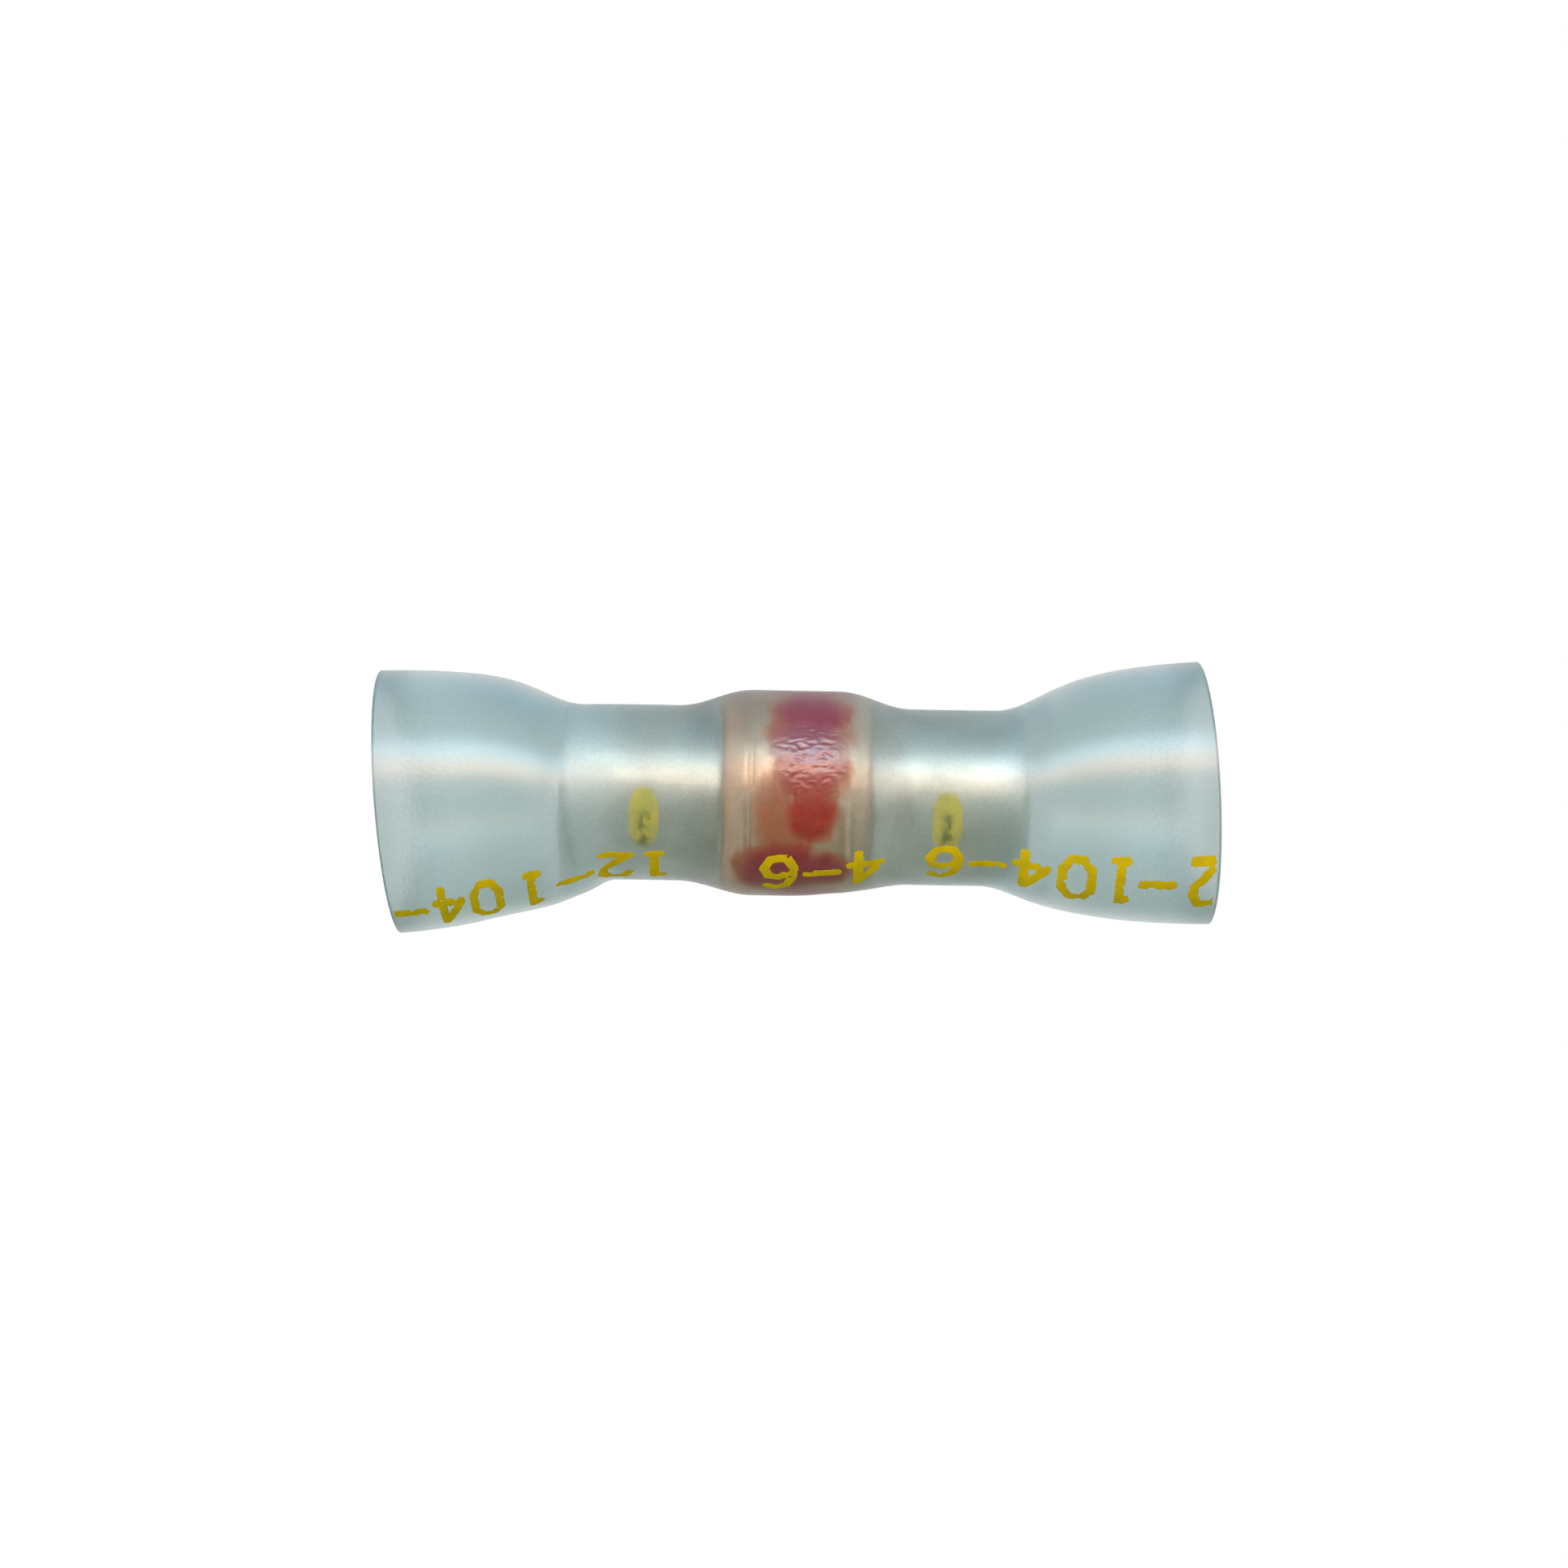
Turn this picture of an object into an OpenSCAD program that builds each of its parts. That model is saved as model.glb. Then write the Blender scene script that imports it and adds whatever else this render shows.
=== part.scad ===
// Crimp, solder and seal butt splice connector for one pair of wires, in millimetres.
// A translucent heat-shrink sleeve is shrunk over a tinned crimp barrel. A solder ring with a
// band of flux sits round the middle of the barrel, and both ends of the sleeve stay flared so
// that an insulated wire can be pushed into each. The part stands on its lower rim: the barrel's
// axis is +Z, and the origin is at the middle of that rim.

/* [Barrel] */
// Length of the crimp barrel
barrel_length = 20.5; // [19:0.5:24]
// Outside diameter of the crimp barrel
barrel_d = 5.7; // [5.2:0.1:6.2]
// Bore of the crimp barrel, which takes the stripped wire
bore_d = 3.8; // [3.2:0.1:4.2]
// Bevel round the outside of the barrel's ends, along the axis
end_bevel = 0.6; // [0.2:0.1:1]
// Lead-in bevel at the mouths of the bore, along the axis and on the radius
lead_in = 0.35; // [0.1:0.05:0.5]

/* [Wire stop] */
// Width of the bead rolled into the middle of the barrel, where the wires stop
stop_width = 2.2; // [1.6:0.1:3]
// How far the bead stands into the bore
stop_height = 0.5; // [0.3:0.05:0.7]
// Diameter of the ports in the bead, which let molten solder reach the wires
port_d = 1.2; // [0.8:0.1:1.5]
// Number of ports round the bead
port_count = 4; // [3:1:6]

/* [Solder ring] */
// Width of the solder ring
ring_width = 6.4; // [5.8:0.1:7.4]
// Thickness of the solder ring at its crown
ring_thickness = 0.8; // [0.6:0.05:1]
// Length over which each edge of the ring is rounded off
ring_round = 1.35; // [0.8:0.05:1.6]
// Width of the channel of flux round the ring
flux_width = 3.5; // [2.5:0.1:4]
// Depth of the channel of flux
flux_depth = 0.22; // [0.1:0.02:0.4]
// How far the channel lies above the middle of the ring
flux_shift = 0.65; // [0:0.05:0.8]

/* [Sleeve] */
// Length of the heat-shrink sleeve
sleeve_length = 36.5; // [34:0.5:44]
// Outside diameter of the flared ends at the rim
flare_d = 11.5; // [10.8:0.1:13]
// Wall of the flared ends, where the tubing hasn't shrunk
flare_wall = 0.6; // [0.5:0.05:0.8]
// Length over which the sleeve runs down from the ring's crown to the barrel
slope_length = 3.25; // [2.5:0.05:3.6]
// How far short of the barrel's end the sleeve starts to open
lift_off = 1.95; // [1:0.05:2.6]
// Length of the neck, from where the sleeve starts to open to the flare's shoulder
neck_length = 2.3; // [1.8:0.1:3.4]
// How much the flare still opens from its shoulder to the rim, on the radius
flare_taper = 0.22; // [0:0.02:0.4]
// Lean of each flared end off the barrel's axis, the lower one to +X and the upper one to -X
flare_lean = 3.4; // [0:0.2:4]

/* [Fit] */
// Gap between pieces that are shrunk or pressed together
fit_gap = 0.03; // [0.02:0.01:0.06]

/* [Hidden] */

facets = 96;        // facets round every turned piece
bead_steps = 8;     // points along half of the rolled bead
slope_steps = 12;   // points along each slope of the sleeve
flare_steps = 20;   // points along each flare
neck_share = 0.75;  // share of the neck over which the sleeve still hugs the barrel
neck_sink = 0.05;   // how far a leaning flare starts under the waist's skin, so that the two cross cleanly
overcut = 0.1;      // how far a cutter runs past the face that it cuts

mid_z = sleeve_length / 2;
barrel_r = barrel_d / 2;
bore_r = bore_d / 2;
barrel_half = barrel_length / 2;
stop_half = stop_width / 2;
bevel_depth = (barrel_r - bore_r) / 3;

ring_half = ring_width / 2;
ring_bore_r = barrel_r + fit_gap;
crown_r = ring_bore_r + ring_thickness;
crown_half = ring_half - ring_round;

flare_r = flare_d / 2;
sleeve_half = sleeve_length / 2;
flare_start = barrel_half - lift_off;
// The tubing keeps its cross-section as it shrinks, so its wall thickens as its radius falls.
// This is that cross-section over pi.
section = pow(flare_r, 2) - pow(flare_r - flare_wall, 2);
waist_r = outer_of(ring_bore_r);

function outer_of(inner_r) = sqrt(pow(inner_r, 2) + section);
function inner_of(outer_r) = sqrt(pow(outer_r, 2) - section);

// Share of a hump's height at a distance from its middle: level to flat, then a smooth run to 0
function hump(distance, flat, run) =
    distance <= flat ? 1
    : distance >= flat + run ? 0
    : (1 + cos(180 * (distance - flat) / run)) / 2;

function bezier(a, b, c, d, t) =
    pow(1 - t, 3) * a + 3 * t * pow(1 - t, 2) * b + 3 * pow(t, 2) * (1 - t) * c + pow(t, 3) * d;

// An outline given as [radius, height over the middle] from the middle up, made whole by its mirror image
function mirrored(upper) = concat(
    [for (i = [len(upper) - 1:-1:0]) [upper[i][0], -upper[i][1]]],
    [for (p = upper) if (p[1] > 0) p]
);
function reversed(points) = [for (i = [len(points) - 1:-1:0]) points[i]];

// Turns an outline round the barrel's axis, with the outline's middle halfway up the sleeve
module turned() {
    translate([0, 0, mid_z])
        rotate_extrude($fn = facets)
            children();
}

// Tinned copper tube with a bead rolled into its middle as a wire stop, and ports through the bead
module crimp_barrel() {
    bead = [
        for (i = [0:bead_steps])
            let (height = stop_half * i / bead_steps)
                [stop_height * hump(height, 0, stop_half), height]
    ];
    outside = concat(
        [for (p = bead) [barrel_r - p[0], p[1]]],
        [[barrel_r, barrel_half - end_bevel], [barrel_r - bevel_depth, barrel_half]]
    );
    inside = concat(
        [for (p = bead) [bore_r - p[0], p[1]]],
        [[bore_r, barrel_half - lead_in], [bore_r + lead_in, barrel_half]]
    );
    color("silver")
        difference() {
            turned()
                polygon(concat(mirrored(outside), reversed(mirrored(inside))));
            for (i = [0:port_count - 1])
                translate([0, 0, mid_z])
                    rotate([0, 90, 360 * i / port_count])
                        cylinder(h = barrel_r + overcut, d = port_d, $fn = facets);
        }
}

// Half outline of the solder ring before its channel is cut, with crowned edges
module ring_outline() {
    crown = [
        for (i = [0:slope_steps])
            let (height = crown_half + ring_round * i / slope_steps)
                [ring_bore_r + ring_thickness * hump(height, crown_half, slope_length), height]
    ];
    polygon(concat(mirrored(crown), [[ring_bore_r, ring_half], [ring_bore_r, -ring_half]]));
}

// Half outline of the channel round the ring, smaller by a gap on the sides that bear on the ring
module channel_outline(gap) {
    translate([crown_r - flux_depth + gap, flux_shift - flux_width / 2 + gap])
        square([flux_depth + overcut, flux_width - 2 * gap]);
}

// Collar of solder round the middle of the barrel, over the ports
module solder_ring() {
    color("darkgray")
        turned()
            difference() {
                ring_outline();
                channel_outline(0);
            }
}

// Band of red flux in the solder ring's channel
module flux_band() {
    color("firebrick")
        turned()
            intersection() {
                ring_outline();
                channel_outline(fit_gap);
            }
}

// Height over the middle, before it leans, of a rim whose nearer (1) or farther (-1) side is level with the
// sleeve's end once it does
function rim_of(side) =
    flare_start + (sleeve_half - flare_start + side * flare_r * sin(flare_lean)) / cos(flare_lean);

// Outline of a flare's outside, from under the waist's skin to its rim
function flare(rim_z) = [
    for (i = [0:flare_steps])
        bezier([waist_r - neck_sink, flare_start], [waist_r - neck_sink, flare_start + neck_length * neck_share],
               [flare_r - flare_taper, flare_start + neck_length], [flare_r, rim_z], i / flare_steps)
];

// Outline of the bore that goes with a flare, run on past its rim
function flare_bore(outside) = concat(
    [for (p = outside) [inner_of(p[0]), p[1]]],
    [[inner_of(flare_r), outside[flare_steps][1] + flare_wall]]
);

// Solid turned from an outline that is given from its lower end up
module core(outline) {
    rotate_extrude($fn = facets)
        polygon(concat([[0, outline[0][1]]], outline, [[0, outline[len(outline) - 1][1]]]));
}

// A waist with its two flares, as solids that run into each other: the upper flare leans to -X, the lower to +X
module waist_and_flares(waist, upper, lower) {
    core(mirrored(waist));
    for (end = [[0, upper], [180, lower]])
        rotate([0, end[0], 0])
            translate([0, 0, flare_start])
                rotate([0, -flare_lean, 0])
                    translate([0, 0, -flare_start])
                        core(end[1]);
}

// Translucent sleeve: crowned over the solder ring, shrunk tight on the barrel, flared at both ends. The upper
// end is cut off square to its own lean, the lower one square to the barrel, so that the connector stands on it.
module heat_shrink_sleeve() {
    slope = [
        for (i = [0:slope_steps])
            let (height = crown_half + slope_length * i / slope_steps)
                [ring_bore_r + (ring_thickness + fit_gap) * hump(height, crown_half, slope_length), height]
    ];
    outside = [for (p = slope) [outer_of(p[0]), p[1]]];
    upper = flare(rim_of(-1));
    lower = flare(rim_of(1) + overcut);
    block = 2 * flare_d;
    color([0.72, 0.8, 0.81, 0.45])
        translate([0, 0, mid_z])
            difference() {
                waist_and_flares(concat(outside, [[waist_r, flare_start + neck_length * neck_share]]), upper, lower);
                waist_and_flares(concat(slope, [[ring_bore_r, barrel_half]]), flare_bore(upper), flare_bore(lower));
                translate([-block / 2, -block / 2, -sleeve_half - block])
                    cube(block);
            }
}

heat_shrink_sleeve();
crimp_barrel();
solder_ring();
flux_band();
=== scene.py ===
# Looks of a crimp, solder and seal butt splice connector, built round its solid model.
# Lengths are in millimetres until a mesh is made. +Z is the barrel's axis, and angles round it are
# counted from the side that faces the camera (-Y) towards +X.
import math

import bmesh
import bpy
import numpy as np
from mathutils import Matrix, Vector, noise


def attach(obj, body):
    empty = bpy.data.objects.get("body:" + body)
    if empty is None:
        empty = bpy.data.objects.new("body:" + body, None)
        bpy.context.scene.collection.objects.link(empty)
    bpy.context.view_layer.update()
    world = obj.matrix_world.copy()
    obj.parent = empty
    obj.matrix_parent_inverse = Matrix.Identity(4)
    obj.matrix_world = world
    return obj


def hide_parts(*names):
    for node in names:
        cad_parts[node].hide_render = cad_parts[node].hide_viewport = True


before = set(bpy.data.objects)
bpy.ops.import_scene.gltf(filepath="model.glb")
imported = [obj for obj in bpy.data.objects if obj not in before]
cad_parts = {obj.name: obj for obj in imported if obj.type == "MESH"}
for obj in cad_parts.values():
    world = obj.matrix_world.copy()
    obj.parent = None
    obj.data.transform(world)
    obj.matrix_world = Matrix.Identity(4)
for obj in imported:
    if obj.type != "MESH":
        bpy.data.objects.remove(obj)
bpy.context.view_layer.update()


# Crimp barrel
# Copper tube with a stop bead rolled into its middle, plated with tin and cut to length.
# The plating is satin, faintly cloudy, and marked along the tube by handling.
BARREL_R = 2.85
MID = 18.25
TIN = (0.71, 0.67, 0.60)
TIN_CLOUDED = (0.58, 0.545, 0.485)
TIN_PAINTED_LIGHT = (0.82, 0.85, 0.83)
# The tin is painted lighter towards the ends, as painted light, counted from a little above the middle.
PAINTED_LIGHT_MID = MID + 0.8


class Wire:
    """A socket of a material. Arithmetic adds Math nodes; node() adds a node of any other kind."""

    def __init__(self, tree, socket=None):
        self.tree = tree
        self.socket = socket

    def node(self, kind, settings=(), sockets=(), output=0):
        made = self.tree.nodes.new("ShaderNode" + kind)
        for name, value in dict(settings).items():
            setattr(made, name, value)
        for name, value in dict(sockets).items():
            if isinstance(value, Wire):
                self.tree.links.new(value.socket, made.inputs[name])
            else:
                made.inputs[name].default_value = value
        return Wire(self.tree, made.outputs[output])

    def math(self, operation, first, second):
        return self.node("Math", {"operation": operation}, {0: first, 1: second})

    def __add__(self, other):
        return self.math("ADD", self, other)

    __radd__ = __add__

    def __sub__(self, other):
        return self.math("SUBTRACT", self, other)

    def __rsub__(self, other):
        return self.math("SUBTRACT", other, self)

    def __mul__(self, other):
        return self.math("MULTIPLY", self, other)

    __rmul__ = __mul__

    def __abs__(self):
        return self.math("ABSOLUTE", self, 0.0)

    def axes(self, names):
        """Components of this vector along the named axes."""
        return [self.node("SeparateXYZ", {}, {0: self}, name) for name in names]

    def place(self, stretch=(1, 1, 1)):
        """Position on the part in millimetres, each axis times its stretch."""
        metres = self.node("TexCoord", output="Object")
        scale = [1000 * s for s in stretch]
        return self.node("VectorMath", {"operation": "MULTIPLY"}, {0: metres, 1: scale})

    def polar(self):
        """Angle round the axis in degrees and height in millimetres."""
        x, y, z = self.place().axes("XYZ")
        return self.math("ARCTAN2", x, y * -1.0) * math.degrees(1), z

    def hoops(self, size, length):
        """Noise from 0 to 1 in hoops round the axis, about size millimetres wide, length degrees long."""
        angle, height = self.polar()
        where = self.node("CombineXYZ", {}, {0: angle * (1 / length), 1: height * (1 / size)})
        return self.node("TexNoise", {}, {"Vector": where, "Scale": 1.0, "Detail": 2.0})

    def noise(self, size, detail=2.0, stretch=(1, 1, 1)):
        """Noise from 0 to 1 whose grains are about size millimetres."""
        where = self.place(stretch)
        return self.node("TexNoise", {}, {"Vector": where, "Scale": 1 / size, "Detail": detail})

    def step(self, low, high):
        """0 where this is below low, 1 where it is above high, smooth in between."""
        return self.node("MapRange", {"interpolation_type": "SMOOTHSTEP"},
                         {"Value": self, "From Min": low, "From Max": high})

    def mix(self, first, second):
        """The first colour where this is 0, the second where it is 1."""
        def colour(value):
            return value if isinstance(value, Wire) else (*value, 1.0)
        return self.node("Mix", {"data_type": "RGBA"}, {0: self, 6: colour(first), 7: colour(second)}, 2)

    def bump(self, depth, over=None):
        """Normal of a surface with this as its height, from 0 to depth millimetres, over another normal."""
        sockets = {"Height": self, "Strength": 1.0, "Distance": depth / 1000}
        if over is not None:
            sockets["Normal"] = over
        return self.node("Bump", {}, sockets)

    def into(self, socket):
        self.tree.links.new(self.socket, socket)


def finish(name, **values):
    """A material, the sockets of its Principled shader and a wire to start from."""
    material = bpy.data.materials.new(name)
    material.use_nodes = True
    sockets = material.node_tree.nodes["Principled BSDF"].inputs
    for socket, value in values.items():
        sockets[socket.replace("_", " ")].default_value = value
    return material, sockets, Wire(material.node_tree)


tin, sockets, wire = finish("tin_plate", Metallic=1.0)
cloud = wire.noise(1.6, 4.0).step(0.35, 0.7)
streak = wire.noise(0.35, 3.0, (1, 1, 0.08)).step(0.3, 0.75)
# Painted light: the base colour grows lighter towards both ends of the barrel.
painted_light_ends = abs(wire.polar()[1] - PAINTED_LIGHT_MID).step(7.0, 10.2)
painted_light_ends.mix(cloud.mix(TIN, TIN_CLOUDED), TIN_PAINTED_LIGHT).into(sockets["Base Color"])
(0.38 + 0.08 * streak + 0.06 * cloud + 0.12 * painted_light_ends).into(sockets["Roughness"])
# The bevels at the ends are tumbled round, so that they catch the light as the tube does.
facing = wire.node("NewGeometry", output="Normal")
x, y = wire.place().axes("XY")
off_axis = wire.node("CombineXYZ", {}, {0: x, 1: y})
outward = wire.node("VectorMath", {"operation": "NORMALIZE"}, {0: off_axis})
agreement = wire.node("VectorMath", {"operation": "DOT_PRODUCT"}, {0: outward, 1: facing}, "Value")
outside = agreement.step(0.3, 0.5)
eased = wire.node("Mix", {"data_type": "VECTOR"}, {0: 0.9 * outside, 4: facing, 5: outward}, 1)
wire.noise(0.22, 3.0, (1, 1, 0.5)).bump(0.008, eased).into(sockets["Normal"])

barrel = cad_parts["crimp_barrel"]
barrel.data.materials.clear()
barrel.data.materials.append(tin)


# Crimp marks
# A dab of yellow paint on the barrel where each crimp goes, brushed on and darker in patches near its
# middle on its +X side.
# It lies under the sleeve, whose adhesive wets it as it wets the metal.
MARK_HEIGHTS = (MID - 6.45, MID + 6.6)
MARK_ANGLE = math.radians(20.5)
MARK_WIDTH = 1.3
MARK_ARC = 2.5
MARK_GAP = 0.002
MARK_THICKNESS = 0.008
MARK_GRID = 0.05
PAINT = (0.84, 0.68, 0.11)
PAINT_THIN = (0.7, 0.59, 0.15)
PAINT_DARK_PATCH = (0.1, 0.13, 0.06)


def film(name, us, vs, cover, thickness, place):
    """Closed thin film over the cells of the grid us by vs where cover is above 0 on average.
    Its edge is drawn to where cover is 0. place(u, v, lift) gives points of the surface below it."""
    u, v = np.meshgrid(us, vs, indexing="ij")
    amount = cover(u, v)
    rows, columns = amount.shape
    cells = amount[:-1, :-1] + amount[1:, :-1] + amount[1:, 1:] + amount[:-1, 1:] > 0
    touched = np.zeros(amount.shape, int)
    for i in (0, 1):
        for j in (0, 1):
            touched[i:rows - 1 + i, j:columns - 1 + j] += cells
    used = touched > 0
    edge = used & (touched < 4)
    inside = used & ~edge
    slope_u, slope_v = np.gradient(amount, us, vs)
    steep = slope_u ** 2 + slope_v ** 2 + 1e-9
    for grid, slope, reach in ((u, slope_u, us[1] - us[0]), (v, slope_v, vs[1] - vs[0])):
        grid -= edge * np.clip(amount * slope / steep, -0.6 * reach, 0.6 * reach)
    top = place(u, v, np.where(edge, 0.0, thickness(u, v)))
    bottom = place(u, v, np.zeros(u.shape))
    upper = np.full(amount.shape, -1)
    upper[used] = np.arange(used.sum())
    lower = upper.copy()
    lower[inside] = used.sum() + np.arange(inside.sum())
    faces = []
    for i, j in zip(*np.nonzero(cells)):
        corners = ((i, j), (i + 1, j), (i + 1, j + 1), (i, j + 1))
        if any(inside[c] for c in corners):
            faces.append([upper[c] for c in corners])
            faces.append([lower[c] for c in reversed(corners)])
    return solid(name, np.concatenate([top[used], bottom[inside]]), faces, False)


def solid(name, points, faces, smooth=True):
    """A piece from points in millimetres and faces, with its normals turned outwards."""
    mesh = bpy.data.meshes.new(name)
    mesh.from_pydata([[c / 1000 for c in p] for p in points], [], [[int(i) for i in f] for f in faces])
    shape = bmesh.new()
    shape.from_mesh(mesh)
    bmesh.ops.delete(shape, geom=[v for v in shape.verts if not v.link_faces], context="VERTS")
    bmesh.ops.recalc_face_normals(shape, faces=shape.faces)
    if shape.calc_volume(signed=True) < 0:
        bmesh.ops.reverse_faces(shape, faces=shape.faces)
    for face in shape.faces:
        face.smooth = smooth
    shape.to_mesh(mesh)
    shape.free()
    piece = bpy.data.objects.new(name, mesh)
    bpy.context.scene.collection.objects.link(piece)
    return piece


def turned(radius, angle, height):
    """Points at a radius, an angle round the axis and a height."""
    return np.stack([radius * np.sin(angle), -radius * np.cos(angle), height], axis=-1)


def grain(u, v, size, seed):
    """Noise from about -1 to 1 over a grid, whose grains are about size across."""
    flat = [noise.noise(Vector((a / size, b / size, seed))) for a, b in zip(u.ravel(), v.ravel())]
    return np.array(flat).reshape(u.shape)


paint, sockets, wire = finish("mark_paint", Roughness=0.55, Specular_IOR_Level=0.1)
angle, height = wire.polar()
left, right = (abs(height - middle) for middle in MARK_HEIGHTS)
inner_part = 1 - (wire.math("MINIMUM", left, right) + 0.5 * (wire.noise(0.5, 2.0) - 0.5)).step(0.1, 0.32)
# Dark patches near the middle of each dab, only on its +X side.
dark_patches = wire.noise(0.28, 3.0).step(0.45, 0.53) * (angle - 10).step(0, 8) * inner_part
thin = wire.noise(0.5, 3.0).step(0.35, 0.65)
coat = thin.mix(PAINT, PAINT_THIN)
(0.85 * dark_patches).mix(coat, PAINT_DARK_PATCH).into(sockets["Base Color"])

for number, height in enumerate(MARK_HEIGHTS):
    def mark_cover(u, v):
        across = np.abs(u - height) / (MARK_WIDTH / 2)
        around = np.abs(v) / (MARK_ARC / 2)
        return 1 - across ** 2.4 - around ** 2.4 + 0.2 * grain(u, v, 0.4, 5 * number)

    def mark_place(u, v, lift):
        return turned(BARREL_R + MARK_GAP + lift, MARK_ANGLE + v / BARREL_R, u)

    mark = film("crimp_mark_%d" % (number + 1), np.arange(height - 0.9, height + 0.9, MARK_GRID),
                np.arange(-1.5, 1.5, MARK_GRID), mark_cover, lambda u, v: MARK_THICKNESS, mark_place)
    mark.data.materials.append(paint)
    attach(mark, "root")


# Solder ring
# Collar of low-melting solder formed round the middle of the barrel, dull silver, turned with shallow
# grooves beside the flux channel and stained tan and red by the flux that crept out of it.
FIT_GAP = 0.03
RING_BORE = BARREL_R + FIT_GAP
RING_THICKNESS = 0.8
RING_LOW = -3.0
RING_HIGH = 3.2
# Half width of the ring's level crown, and the length over which it would fall to the barrel
CROWN_HALF = 1.85
SLOPE_LENGTH = 3.25
CHANNEL_LOW = -1.1
CHANNEL_HIGH = 2.4
CHANNEL_DEPTH = 0.05
CHANNEL_SIDE = 0.2
GROOVES = (-2.0, -1.8, 2.75)
GROOVE_DEPTH = 0.03
GROOVE_WIDTH = 0.06
EDGE_ROUND = 0.15
EDGE_DROP = 0.1
SOLDER = (0.78, 0.56, 0.415)
SOLDER_TURNED = (0.68, 0.465, 0.34)
SOLDER_TANNED = (0.63, 0.40, 0.27)
SOLDER_EDGE = (0.70, 0.535, 0.40)
FRINGE = (0.6, 0.22, 0.1)
CRIMSON = ((0.40, 0.022, 0.05), (0.46, 0.04, 0.075))
SCARLET = ((0.56, 0.018, 0.006), (0.58, 0.05, 0.016))
# Red stains: middle height over the ring's middle, middle angle, half width, half arc in degrees, strength
STAINS = (
    (0.68, -60, 1.7, 24, 1.0),
    (0.5, -38, 1.75, 20, 0.8),
    (0.7, -16, 1.5, 24, 0.95),
    (0.7, 13, 1.2, 18, 1.0),
    (-0.6, 16, 1.3, 34, 0.4),
    (-0.5, 55, 2.0, 25, 1.0),
    (1.2, 55, 1.2, 17, 0.8),
    (0.7, 96, 1.6, 16, 1.0),
    (0.4, 135, 1.8, 15, 1.0),
    (0.6, -98, 1.7, 16, 1.0),
    (0.4, -140, 1.5, 20, 1.0),
)


def ring_faces(rings, count):
    """Faces of a skin that runs from ring to ring and from the last one back to the first."""
    faces = []
    for i in range(rings):
        low = i * count
        high = (i + 1) % rings * count
        for j in range(count):
            k = (j + 1) % count
            faces.append((low + j, low + k, high + k, high + j))
    return faces


def crowned(offset):
    """Share of the crown's height at an offset from the middle: 1 where it is level, 0 on the barrel."""
    fall = np.clip((np.abs(offset) - CROWN_HALF) / SLOPE_LENGTH, 0, 1)
    return (1 + np.cos(np.pi * fall)) / 2


def ring_radius(offset):
    """Outer radius of the solder ring at an offset from its middle, without the grooves."""
    low_side = np.clip((offset - CHANNEL_LOW) / CHANNEL_SIDE, 0, 1)
    high_side = np.clip((CHANNEL_HIGH - offset) / CHANNEL_SIDE, 0, 1)
    return RING_BORE + RING_THICKNESS * crowned(offset) - CHANNEL_DEPTH * low_side * high_side


around = np.linspace(0, 2 * np.pi, 160, endpoint=False)
offsets = np.arange(RING_LOW, RING_HIGH + 0.001, 0.05)
grooves = sum(GROOVE_DEPTH * np.exp(-((offsets - at) / GROOVE_WIDTH) ** 2) for at in GROOVES)
from_edge = np.minimum(offsets - RING_LOW, RING_HIGH - offsets)
rounded = EDGE_DROP * np.clip(1 - from_edge / EDGE_ROUND, 0, 1) ** 2
skin = list(zip(ring_radius(offsets) - grooves - rounded, MID + offsets))
skin += [(RING_BORE, MID + RING_HIGH), (RING_BORE, MID + RING_LOW)]
points = [turned(np.full(around.shape, r), around, np.full(around.shape, z)) for r, z in skin]
ring = solid("solder_collar", np.concatenate(points), ring_faces(len(skin), len(around)))


def upper_edge(height):
    """1 on the ring's edge above the channel, 0 below that."""
    return (height - (MID + CHANNEL_HIGH - 0.1)).step(0, 0.3)


def stained(wire):
    """How red the flux has stained a point of the ring, from 0 to 1, and the ring's colour there."""
    angle, height = wire.polar()
    ragged = 1.2 * (wire.noise(0.8, 4.0) - 0.5) + 0.9 * (wire.hoops(0.16, 25) - 0.5)
    red = None
    for middle, turn, half_width, half_arc, strength in STAINS:
        across = (height - (MID + middle)) * (1 / half_width)
        along = (angle - turn) * (1 / half_arc)
        stain = strength * (1 - (across * across + along * along + ragged).step(0.05, 1.7))
        red = stain if red is None else wire.math("MAXIMUM", red, stain)
    patchy = wire.noise(0.45, 3.0).step(0.35, 0.65)
    # The flux is scarlet on the side that faces -Y and crimson away from it.
    front = (angle + 34).step(0, 30) * (1 - 0.8 * (angle - 32).step(0, 14))
    flux_red = front.mix(patchy.mix(*CRIMSON), patchy.mix(*SCARLET))
    hoop = wire.hoops(0.13, 40).step(0.3, 0.7)
    tan = wire.noise(0.9, 4.0).step(0.3, 0.6)
    metal = tan.mix(hoop.mix(SOLDER, SOLDER_TURNED), SOLDER_TANNED)
    bare = (0.7 * upper_edge(height)).mix(metal, SOLDER_EDGE)
    fringe = red.step(0.02, 0.45).mix(bare, FRINGE)
    return red, red.step(0.15, 0.9).mix(fringe, flux_red)


solder, sockets, wire = finish("solder", Specular_IOR_Level=0.15)
red, colour = stained(wire)
colour.into(sockets["Base Color"])
bare_metal = 0.85 - 0.5 * upper_edge(wire.polar()[1])
(bare_metal * (1 - red.step(0.02, 0.45))).into(sockets["Metallic"])
(0.3 + 0.1 * wire.noise(0.9, 4.0)).into(sockets["Roughness"])
wire.noise(0.3, 3.0).bump(0.012).into(sockets["Normal"])
ring.data.materials.append(solder)
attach(ring, "root")
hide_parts("solder_ring")


# Flux
# Red rosin flux smeared in the ring's channel: glossy and thick where it pooled, crinkled where the
# adhesive of the sleeve drew it up, and bare in places.
FLUX_R = 3.6
FLUX_GAP = 0.004
FLUX_THIN = 0.015
FLUX_POOLED = 0.06
CRINKLE = 0.06
FINE_CRINKLE = 0.035
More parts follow.
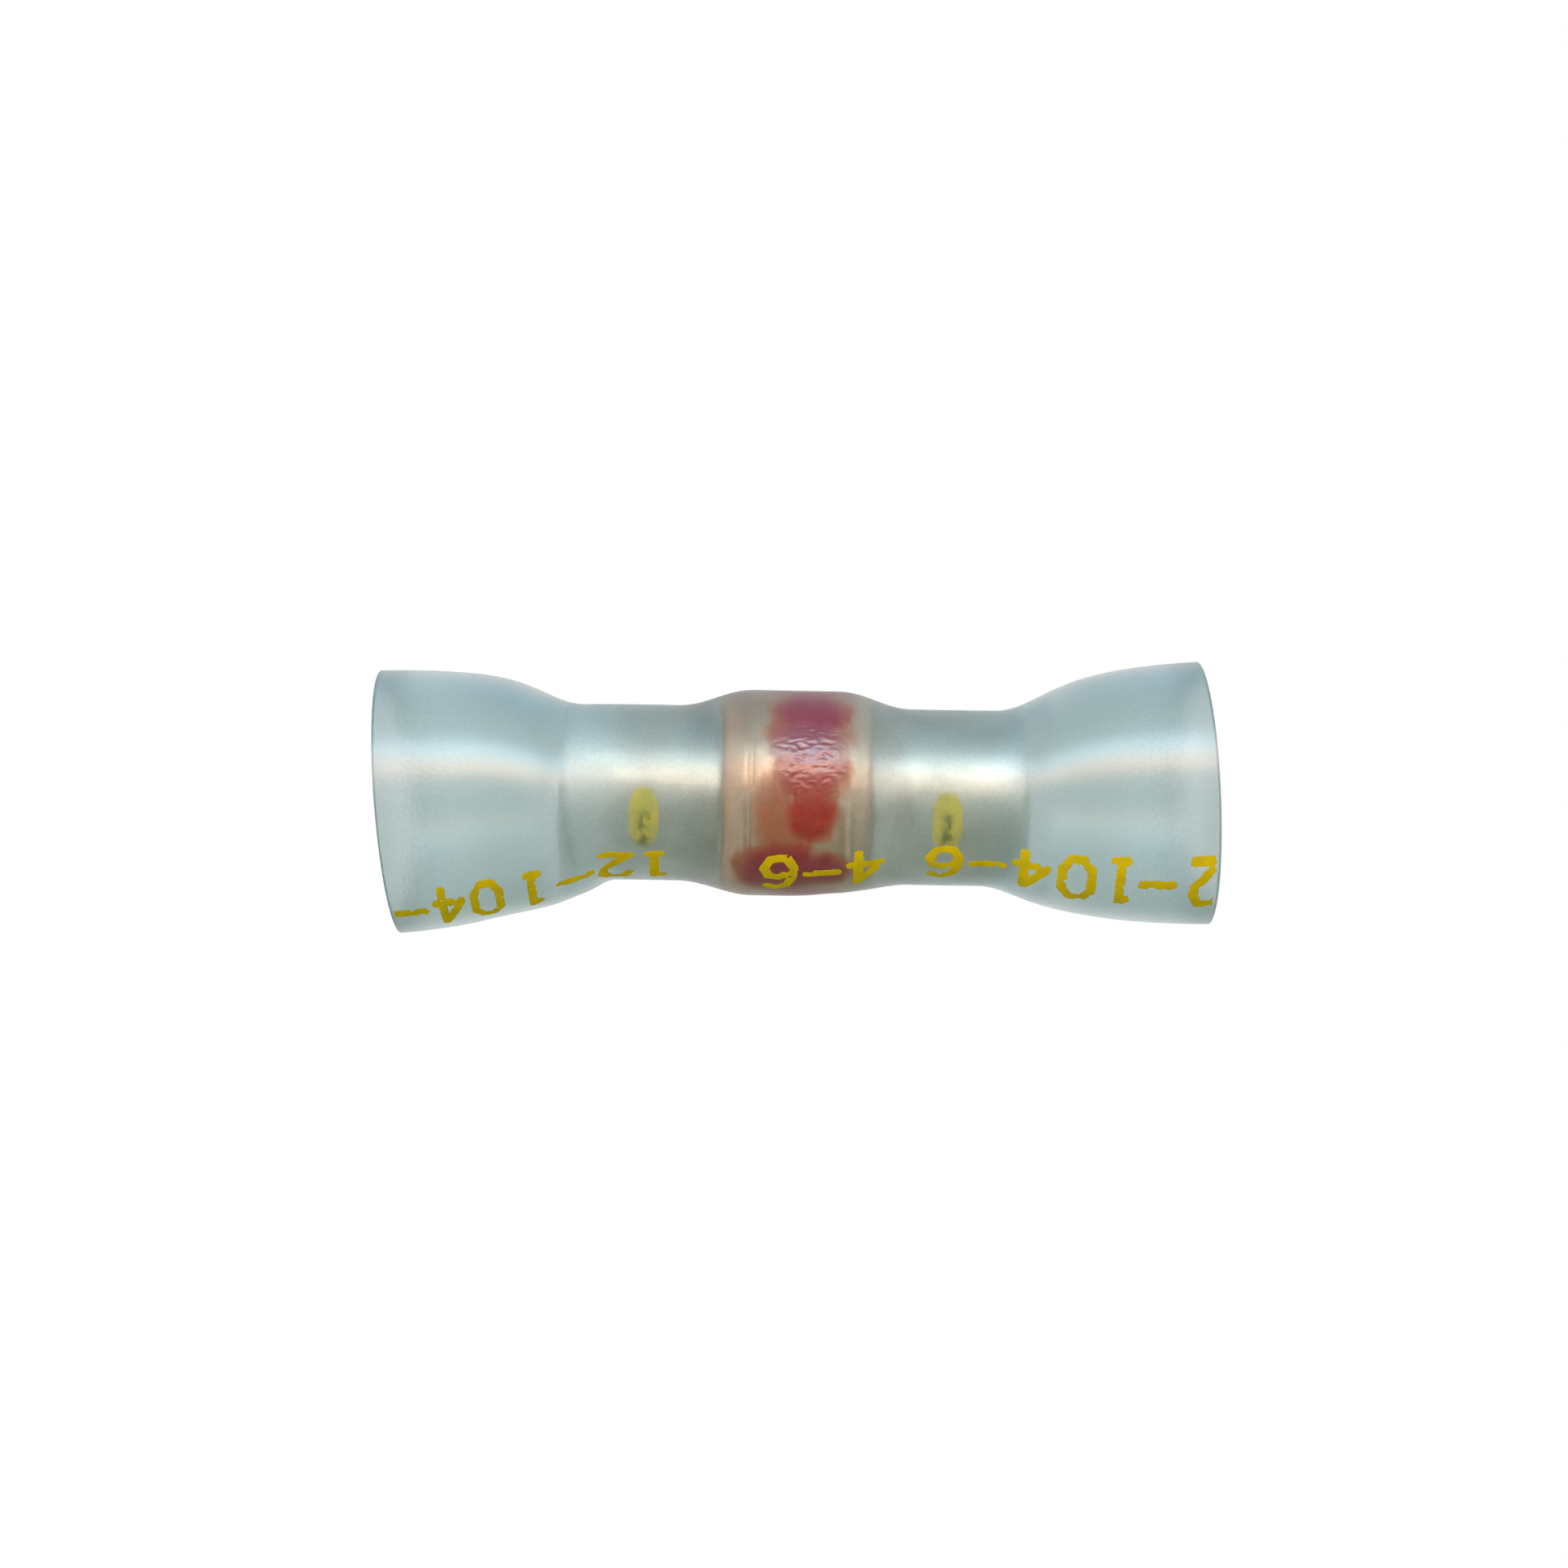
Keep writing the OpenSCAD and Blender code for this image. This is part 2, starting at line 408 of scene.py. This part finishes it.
# Pools as middle height over the ring's middle, middle angle, half width and half arc in degrees
POOLS = (
    (0.68, -60, 1.35, 17),
    (0.62, -22, 1.4, 26),
    (0.8, 12, 0.8, 14),
    (-0.3, 57, 1.1, 13),
    (0.7, 96, 1.2, 11),
    (0.4, 135, 1.4, 10),
    (0.6, -98, 1.3, 11),
    (0.4, -140, 1.1, 15),
)


def flux_cover(u, v):
    """How far inside a pool of flux a point is, with ragged edges."""
    best = np.full(u.shape, -1.0)
    for height, angle, half_width, half_arc in POOLS:
        across = np.abs(u - height) / half_width
        along = np.abs(np.degrees(v / FLUX_R) - angle) / half_arc
        best = np.maximum(best, 1 - across ** 2.6 - along ** 2.6)
    return best + 0.35 * grain(u, v, 0.8, 3) + 0.12 * grain(u, v, 0.25, 7)


def flux_thickness(u, v):
    """Pooled flux fills the channel; it is crinkled between the top pool and the middle."""
    angle = np.degrees(v / FLUX_R)
    crinkled = np.clip((angle + 46) / 6, 0, 1) * np.clip((6 - angle) / 8, 0, 1)
    crinkle = CRINKLE * np.abs(grain(u * 0.6, v, 0.22, 11)) + FINE_CRINKLE * grain(u * 0.8, v, 0.11, 13)
    fill = FLUX_THIN + FLUX_POOLED * np.clip(flux_cover(u, v) / 0.5, 0, 1)
    return fill + crinkled * crinkle + 0.008 * grain(u, v, 0.25, 17)


def flux_place(u, v, lift):
    return turned(ring_radius(u) + FLUX_GAP + lift, v / FLUX_R, MID + u)


half_round = np.pi * FLUX_R
flux = film("flux_smear", np.arange(-2.2, 2.5, 0.04), np.linspace(-half_round, half_round, 541),
            flux_cover, flux_thickness, flux_place)
rosin, sockets, wire = finish("flux", Roughness=0.27, Specular_IOR_Level=0.15)
stained(wire)[1].into(sockets["Base Color"])
flux.data.materials.append(rosin)
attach(flux, "root")
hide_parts("flux_band")


# Heat-shrink sleeve
# Clear polyolefin tube lined with hot-melt adhesive, shrunk by heat onto the barrel and the ring, which
# the adhesive wets. Its ends stay flared, lean a little and were cut off slightly askew.
LEAN = {"lower": 0.068, "upper": -0.046}
SLANT = {"lower": math.tan(math.radians(5.4)), "upper": math.tan(math.radians(3.5))}
TRIM = {"lower": 0.6, "upper": -0.36}
SLEEVE_HALF = MID
CROWN = RING_THICKNESS + FIT_GAP
FLARE_R = 5.75
SHOULDER_R = 5.53
WALL = 0.6
# Distances from the middle of the points that steer the curve of a flare
FLARE_FAR = (8.3, 10.03, 10.6, SLEEVE_HALF)
# How far from the middle the adhesive ends, and how deep it starts inside the ring and the barrel
ADHESIVE_END = 10.15
RING_SINK = 0.13
BARREL_SINK = 0.1
END_SINK = 0.2
SAG = 0.16
# Outer radius over the flux, for sizes along the skin
SKIN_R = 4.4
# Where the skin is wrinkled: height over the middle, angle, half width and half arc in degrees
WRINKLED = (0.6, -22.5, 1.6, 20)
WRINKLE_DEPTH = 0.06
WRINKLE_SIZE = 0.24
# Cross-section of the tubing's wall over pi, which stays the same as it shrinks
SECTION = FLARE_R ** 2 - (FLARE_R - WALL) ** 2
TINT = ((0.52, 0.64, 0.635), (0.62, 0.73, 0.725))
TINT_NECK = (0.50, 0.60, 0.58)
TINT_PAINTED_SHADE = (0.30, 0.39, 0.385)
ADHESIVE = (0.71, 0.775, 0.77)
ADHESIVE_PAINTED_LIGHT = (0.95, 0.97, 0.97)
CUT = (0.72, 0.82, 0.81, 1.0)


def outline(far):
    """Outer radius of the sleeve at a distance from its middle, before its ends lean."""
    bore = RING_BORE + CROWN * crowned(far)
    waist = math.sqrt(RING_BORE ** 2 + SECTION)
    share = np.linspace(0, 1, 200)
    rest = 1 - share
    bezier = np.stack([rest ** 3, 3 * share * rest ** 2, 3 * share ** 2 * rest, share ** 3])
    flare_radii = np.dot((waist, waist, SHOULDER_R, FLARE_R), bezier)
    flare = np.interp(far, np.dot(FLARE_FAR, bezier), flare_radii)
    return np.where(far < FLARE_FAR[0], np.sqrt(bore ** 2 + SECTION), flare)


stations = np.linspace(0, 2 * SLEEVE_HALF, 366)
outer = outline(np.abs(stations - MID))
inner = np.sqrt(outer ** 2 - SECTION)


def ramp(value, low, high):
    """0 where value is below low, 1 where it is above high, smooth in between."""
    share = np.clip((value - low) / (high - low), 0, 1)
    return share * share * (3 - 2 * share)


def filled(height):
    """Radius out from which adhesive fills the sleeve. It wets the ring and the barrel, so it starts inside
    them, and it stops short of the barrel's end."""
    far = np.abs(height - MID)
    on_ring = (height > MID + RING_LOW) & (height < MID + RING_HIGH)
    radius = np.where(on_ring, ring_radius(height - MID) - RING_SINK, BARREL_R - BARREL_SINK)
    return np.where(far < ADHESIVE_END, radius - END_SINK * ramp(far, 9.0, 9.6), FLARE_R)


def wrinkles(height, angle):
    """How far the heat drew up the skin over the flux, in millimetres."""
    turn = (angle + np.pi) % (2 * np.pi) - np.pi
    arc = SKIN_R * turn
    middle, side, half_width, half_arc = WRINKLED
    across = (height - MID - middle) / half_width
    along = (np.degrees(turn) - side) / half_arc
    spread = across ** 2 + along ** 2 + 0.7 * grain(height, arc, 0.5, 31)
    wandering = arc + 0.2 * grain(height, arc, 0.4, 35)
    ridges = np.abs(grain(0.6 * height, wandering, WRINKLE_SIZE, 33))
    return WRINKLE_DEPTH * (1 - ramp(spread, 0.2, 1.6)) * (0.4 - ridges)


def on_sleeve(height, angle, radii, lift=0.0):
    """Points of the sleeve's skin, with the lean, the uneven opening and the slanted cut of its ends."""
    far = np.abs(height - MID)
    side = np.sin(angle)
    upper = height > MID
    # The +X side of each end opens nearer to the middle than the other.
    early = np.where(upper, 0.33 * side - 0.15, -np.where(side > 0, 1.2, 0.85) * side)
    lead = early * ramp(far, 6.5, 9.0) * ramp(14.0 - far, 0, 4.0)
    radius = np.interp(height + lead, stations, radii) + lift
    # The crown sags beside the flux on the +X side.
    radius = radius - SAG * np.clip(side, 0, 1) * np.exp(-((height - MID - 2.2) / 1.3) ** 2)
    if radii is inner:
        radius = np.minimum(radius, filled(height))
    else:
        radius = radius + wrinkles(height, angle)
    beyond = far - 9.0
    leaned = (beyond + np.sqrt(beyond ** 2 + 1.0)) / 2
    centre = np.where(upper, LEAN["upper"], LEAN["lower"]) * leaned * ramp(far, 5.5, 8.5)
    cut = (np.where(upper, TRIM["upper"], TRIM["lower"])
           + np.where(upper, SLANT["upper"], SLANT["lower"]) * radius * side)
    points = turned(radius, angle, height + cut * ramp(far, 9.0, SLEEVE_HALF))
    points[..., 0] += centre - 0.07 * ramp(5.0 - far, 0, 2.5)
    return points


def stepped(height):
    """Whether the lining's radius changes quickly: by the ring's edges and where the adhesive ends."""
    far = abs(height - MID)
    return 2.6 < far < 3.6 or 9 < far < 11


# The mesh is finer where the skin is wrinkled and where the lining is stepped.
around = np.radians(np.concatenate([np.arange(-52, 4.1, 0.6), np.arange(7, 306, 3)]))
low, high = stations[0], stations[-1]
outer_rows = np.concatenate([
    np.arange(0.2, 16.3, 0.2),
    np.arange(16.4, 21.3, 0.08),
    np.arange(21.4, 36.4, 0.2),
])
inner_rows = [z for i, z in enumerate(stations[1:-1]) if i % 2 == 0 or stepped(z)]
# Rows of the mesh beside a cut, in millimetres from it, and across it, as shares of the wall. They leave
# the cut's edges a little rounded.
BESIDE_CUT = (0.06, 0.03, 0.01)
ACROSS_CUT = (0.04, 0.1, 0.3, 0.5, 0.7, 0.9, 0.96)
wall = outer[0] - inner[0]
skin = [(low + gap, outer, 0.0) for gap in reversed(BESIDE_CUT)]
skin += [(height, outer, 0.0) for height in outer_rows]
skin += [(high - gap, outer, 0.0) for gap in BESIDE_CUT]
upper_cut = len(skin)
skin += [(high, outer, -wall * share) for share in ACROSS_CUT]
inner_start = len(skin)
skin += [(high - gap, inner, 0.0) for gap in reversed(BESIDE_CUT)]
skin += [(height, inner, 0.0) for height in reversed(inner_rows)]
skin += [(low + gap, inner, 0.0) for gap in BESIDE_CUT]
lower_cut = len(skin)
skin += [(low, outer, -wall * share) for share in reversed(ACROSS_CUT)]
rows = [on_sleeve(np.full(around.shape, height), around, radii, lift) for height, radii, lift in skin]
sleeve = solid("sleeve", np.concatenate(rows), ring_faces(len(rows), len(around)))
for number, face in enumerate(sleeve.data.polygons):
    row = number // len(around)
    cut = row >= lower_cut or upper_cut <= row < inner_start
    face.material_index = 2 if cut else 1 if row >= inner_start else 0

clear, sockets, wire = finish("frosted_sleeve", Transmission_Weight=1.0, IOR=1.5, Coat_Roughness=0.29)
angle, height = wire.polar()
x = wire.place().axes("X")[0]
# Painted shade: the tint is darker over the last two millimetres or so at each cut end.
lower_end = height - TRIM["lower"] - SLANT["lower"] * x
upper_end = (2 * MID + TRIM["upper"]) - height + SLANT["upper"] * x
end = 1 - wire.math("MINIMUM", lower_end, upper_end).step(0.1, 1.9)
specked = wire.noise(0.13, 2.0).step(0.3, 0.7).mix(*TINT)
far = abs(height - MID)
neck = 0.7 * far.step(9.8, 11) * (1 - far.step(12.5, 15.5))
end.mix(neck.mix(specked, TINT_NECK), TINT_PAINTED_SHADE).into(sockets["Base Color"])
# The skin is glossier where it is wrinkled.
middle, side, half_width, half_arc = WRINKLED
across = (height - (MID + middle)) * (1 / half_width)
along = (angle - side) * (1 / half_arc)
spread = across * across + along * along + 1.4 * (wire.noise(0.5, 3.0) - 0.5)
wrinkled = 1 - spread.step(0.1, 1.7)
shrunk = 1 - far.step(8, 11)
(0.29 + 0.1 * shrunk * (1 - wrinkled) + 0.04 * wire.noise(0.8, 3.0)).into(sockets["Roughness"])
(0.4 * (1 - shrunk) * (1 - 0.8 * far.step(14.5, 18)) + 0.9 * wrinkled).into(sockets["Coat Weight"])
wire.noise(0.18, 3.0).bump(0.014).into(sockets["Normal"])
# The adhesive is milky where it ends round the barrel, and its colour there is painted lighter, as painted
# light over the dark gap by the barrel's end.
lining, sockets, wire = finish("adhesive_lining", Transmission_Weight=1.0, IOR=1.5)
far = abs(wire.polar()[1] - MID)
milky_and_lightened = far.step(9.7, 10.1) * (1 - far.step(10.4, 11.5))
(0.24 + 0.6 * milky_and_lightened).into(sockets["Roughness"])
milky_and_lightened.mix(ADHESIVE, ADHESIVE_PAINTED_LIGHT).into(sockets["Base Color"])
cut_end = finish("cut_end", Transmission_Weight=0.6, IOR=1.5, Roughness=0.8, Base_Color=CUT)[0]
for coat in (clear, lining, cut_end):
    sleeve.data.materials.append(coat)
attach(sleeve, "root")
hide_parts("heat_shrink_sleeve")


# Print
# Yellow ink rolled on the tubing before it was cut and shrunk, upside down to the camera: plain numbers for
# ranges of wire sizes, rough at their edges and worn.
# Heights, and the angles at which the middle of the print runs there
TEXT_ANGLE = ((0, 11.5, MID, 36.5), (57, 57, 50.5, 42))
# Height of a number, in degrees round the sleeve
TEXT_HEIGHT = 26.0
TEXT_R = 4.6
STROKE = 0.21
PITCH = 1.86
GLYPH_WIDTH = 0.68 * PITCH
INK_GAP = 0.004
INK_THICKNESS = 0.004
INK_GRID = 0.05
INK = (0.42, 0.345, 0.004)
INK_DULL = (0.35, 0.295, 0.006)
GLYPHS = {
    "0": (((0.3, 0), (0.7, 0), (1, 0.24), (1, 0.76), (0.7, 1), (0.3, 1), (0, 0.76), (0, 0.24), (0.3, 0)),),
    "1": (((0.3, 0), (0.7, 0)), ((0.5, 0), (0.5, 1), (0.25, 0.9))),
    "2": (((0.05, 0.75), (0.25, 1), (0.75, 1), (0.95, 0.75), (0.9, 0.55), (0.05, 0.02), (0.95, 0.02)),),
    "4": (((0.74, 0), (0.74, 1), (0, 0.32), (1, 0.32)),),
    "6": (((0.9, 0.9), (0.6, 1), (0.25, 0.9), (0.04, 0.6), (0, 0.28), (0.2, 0.03), (0.5, 0), (0.8, 0.04),
           (1, 0.28), (0.85, 0.52), (0.5, 0.58), (0.1, 0.42)),),
    "-": (((0.0, 0.5), (1.0, 0.5)),),
}
# Each group of numbers with the height that its first one starts at; they read downwards
GROUPS = (
    ("2", 36.6), ("-", 34.5), ("10", 32.9), ("4-6", 29.1), ("4-6", 22.0),
    ("1", 12.9), ("2", 11.25), ("-", 9.5), ("1", 7.55), ("0", 5.3), ("4-", 3.4),
)


def text_strokes():
    """Ends of all strokes of the print as heights and arcs, in millimetres."""
    lines = []
    tall = math.radians(TEXT_HEIGHT) * TEXT_R
    for text, height in GROUPS:
        for glyph in text:
            for stroke in GLYPHS[glyph]:
                ends = [(height - GLYPH_WIDTH * x, tall * (y - 0.5)) for x, y in stroke]
                lines += zip(ends[:-1], ends[1:])
            height -= PITCH
    return lines


def print_cover(u, v):
    """How far inside the ink a point is."""
    near = np.full(u.shape, 9.0)
    for (u0, v0), (u1, v1) in text_strokes():
        run_u, run_v = u1 - u0, v1 - v0
        share = ((u - u0) * run_u + (v - v0) * run_v) / (run_u ** 2 + run_v ** 2)
        share = np.clip(share, 0, 1)
        near = np.minimum(near, np.hypot(u - u0 - share * run_u, v - v0 - share * run_v))
    rough = 0.04 * grain(u, v, 0.16, 27)
    worn = 0.5 * np.clip(grain(u, v, 0.35, 23) - 0.32, 0, 1)
    return STROKE - near + rough - worn


def print_place(u, v, lift):
    middle = np.interp(u, *TEXT_ANGLE)
    return on_sleeve(u, np.radians(middle) + v / TEXT_R, outer, lift + INK_GAP)


ink = film("print", np.arange(0.2, 36.35, INK_GRID), np.arange(-1.6, 1.6, INK_GRID), print_cover,
           lambda u, v: INK_THICKNESS, print_place)
yellow, sockets, wire = finish("yellow_ink", Roughness=0.6, Specular_IOR_Level=0.0)
wire.noise(0.6, 3.0).step(0.35, 0.7).mix(INK, INK_DULL).into(sockets["Base Color"])
ink.data.materials.append(yellow)
# Rays that the sleeve has bent pass it, so that it leaves no dark patch on the barrel below.
ink.visible_transmission = False
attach(ink, "root")


# Floor, world and lights
# White sweep and white surroundings, which the clear sleeve shows through itself and which are cool to one
# side and dim to the other, and a long key light above the object in the picture, cool along one edge and
# warm along the other.
FLOOR_HALF = 1.5
FLOOR_WHITE = (0.8, 0.8, 0.8, 1.0)
LAMP_LENGTH = 1.6
LAMP_DISTANCE = 0.25
WHITE = (1.0, 1.0, 1.0)
SIDE_COOL = (0.45, 0.75, 1.0)
SIDE_DIM = (0.33, 0.42, 0.33)


def lamp(name, colour, power, width, direction):
    """An area light, long along Z, that shines on the middle of the part from an angle in degrees."""
    light = bpy.data.lights.new(name, "AREA")
    light.shape = "RECTANGLE"
    light.size = width
    light.size_y = LAMP_LENGTH
    light.color = colour
    light.energy = power
    piece = bpy.data.objects.new(name, light)
    angle = math.radians(direction)
    outward = Vector((math.sin(angle), -math.cos(angle), 0))
    middle = Vector((0, 0, MID / 1000))
    sideways = Vector((math.cos(angle), math.sin(angle), 0))
    turn = Matrix((sideways, Vector((0, 0, 1)), outward)).transposed().to_4x4()
    piece.matrix_world = Matrix.Translation(middle + LAMP_DISTANCE * outward) @ turn
    piece.visible_camera = False
    bpy.context.scene.collection.objects.link(piece)
    return piece


def seen_ray(wire):
    """1 for the rays that show a surface to the camera, straight, by gloss or through the sleeve."""
    seen = wire.node("LightPath", output="Is Camera Ray")
    for ray in ("Is Glossy Ray", "Is Transmission Ray"):
        seen = wire.math("MAXIMUM", seen, wire.node("LightPath", output=ray))
    return seen


mesh = bpy.data.meshes.new("floor")
corners = [(FLOOR_HALF * x, FLOOR_HALF * y, 0) for x, y in ((-1, -1), (1, -1), (1, 1), (-1, 1))]
mesh.from_pydata(corners, [], [(0, 1, 2, 3)])
floor = bpy.data.objects.new("floor", mesh)
bpy.context.scene.collection.objects.link(floor)
white, sockets, wire = finish("white_floor", Roughness=1.0, Specular_IOR_Level=0.0, Base_Color=FLOOR_WHITE)
matt = Wire(wire.tree, wire.tree.nodes["Principled BSDF"].outputs[0])
glow = wire.node("Emission", {}, {"Color": (1, 1, 1, 1), "Strength": 1.1})
shown = wire.node("MixShader", {}, {0: 0.9 * seen_ray(wire), 1: matt, 2: glow})
shown.into(wire.tree.nodes["Material Output"].inputs["Surface"])
floor.data.materials.append(white)
# The key light reaches below the floor, so that it runs past both ends of the part.
floor.visible_shadow = False
floor.visible_glossy = False

world = bpy.data.worlds.new("white_room")
bpy.context.scene.world = world
world.use_nodes = True
wire = Wire(world.node_tree)
sky = world.node_tree.nodes["Background"].inputs
x, y = wire.node("TexCoord", output="Generated").axes("XY")
side = x.step(-0.5, 0.5).mix(SIDE_COOL, SIDE_DIM)
room = y.step(0.55, 0.95).mix(side, WHITE)
plain = wire.math("MAXIMUM", wire.node("LightPath", output="Is Camera Ray"),
                  wire.node("LightPath", output="Is Diffuse Ray"))
plain.mix(room, WHITE).into(sky["Color"])
(0.7 + 0.3 * seen_ray(wire)).into(sky["Strength"])
lamp("key", (1.0, 0.97, 0.93), 1.25, 0.036, -38)
lamp("key_cool", (0.45, 0.78, 1.0), 1.75, 0.03, -47)
lamp("key_warm", (1.0, 0.5, 0.23), 2.2, 0.03, -28)
bpy.context.scene.cycles.max_bounces = 32
bpy.context.scene.cycles.glossy_bounces = 16
bpy.context.scene.cycles.transmission_bounces = 24


# Camera
# Looks at the connector from -Y with the barrel's axis across the picture, upper end to the right and
# turned a little down, from the distance that its perspective in the photo asks for.
ROLL = math.radians(1.1)
CAMERA_PLACE = (-0.00047, -0.1286, 0.0178)
SENSOR = 36.0
# Width of the photo and focal length, both in its pixels
PHOTO_WIDTH = 1932
FOCAL_LENGTH = 3608
camera = bpy.data.objects.new("camera", bpy.data.cameras.new("camera"))
camera.data.sensor_width = SENSOR
camera.data.lens = SENSOR * FOCAL_LENGTH / PHOTO_WIDTH
camera.data.clip_start = 0.005
right = Vector((-math.sin(ROLL), 0, math.cos(ROLL)))
up = Vector((-math.cos(ROLL), 0, -math.sin(ROLL)))
back = Vector((0, -1, 0))
turn = Matrix((right, up, back)).transposed().to_4x4()
camera.matrix_world = Matrix.Translation(CAMERA_PLACE) @ turn
bpy.context.scene.collection.objects.link(camera)
bpy.context.scene.camera = camera
bpy.context.scene.view_settings.view_transform = "Standard"
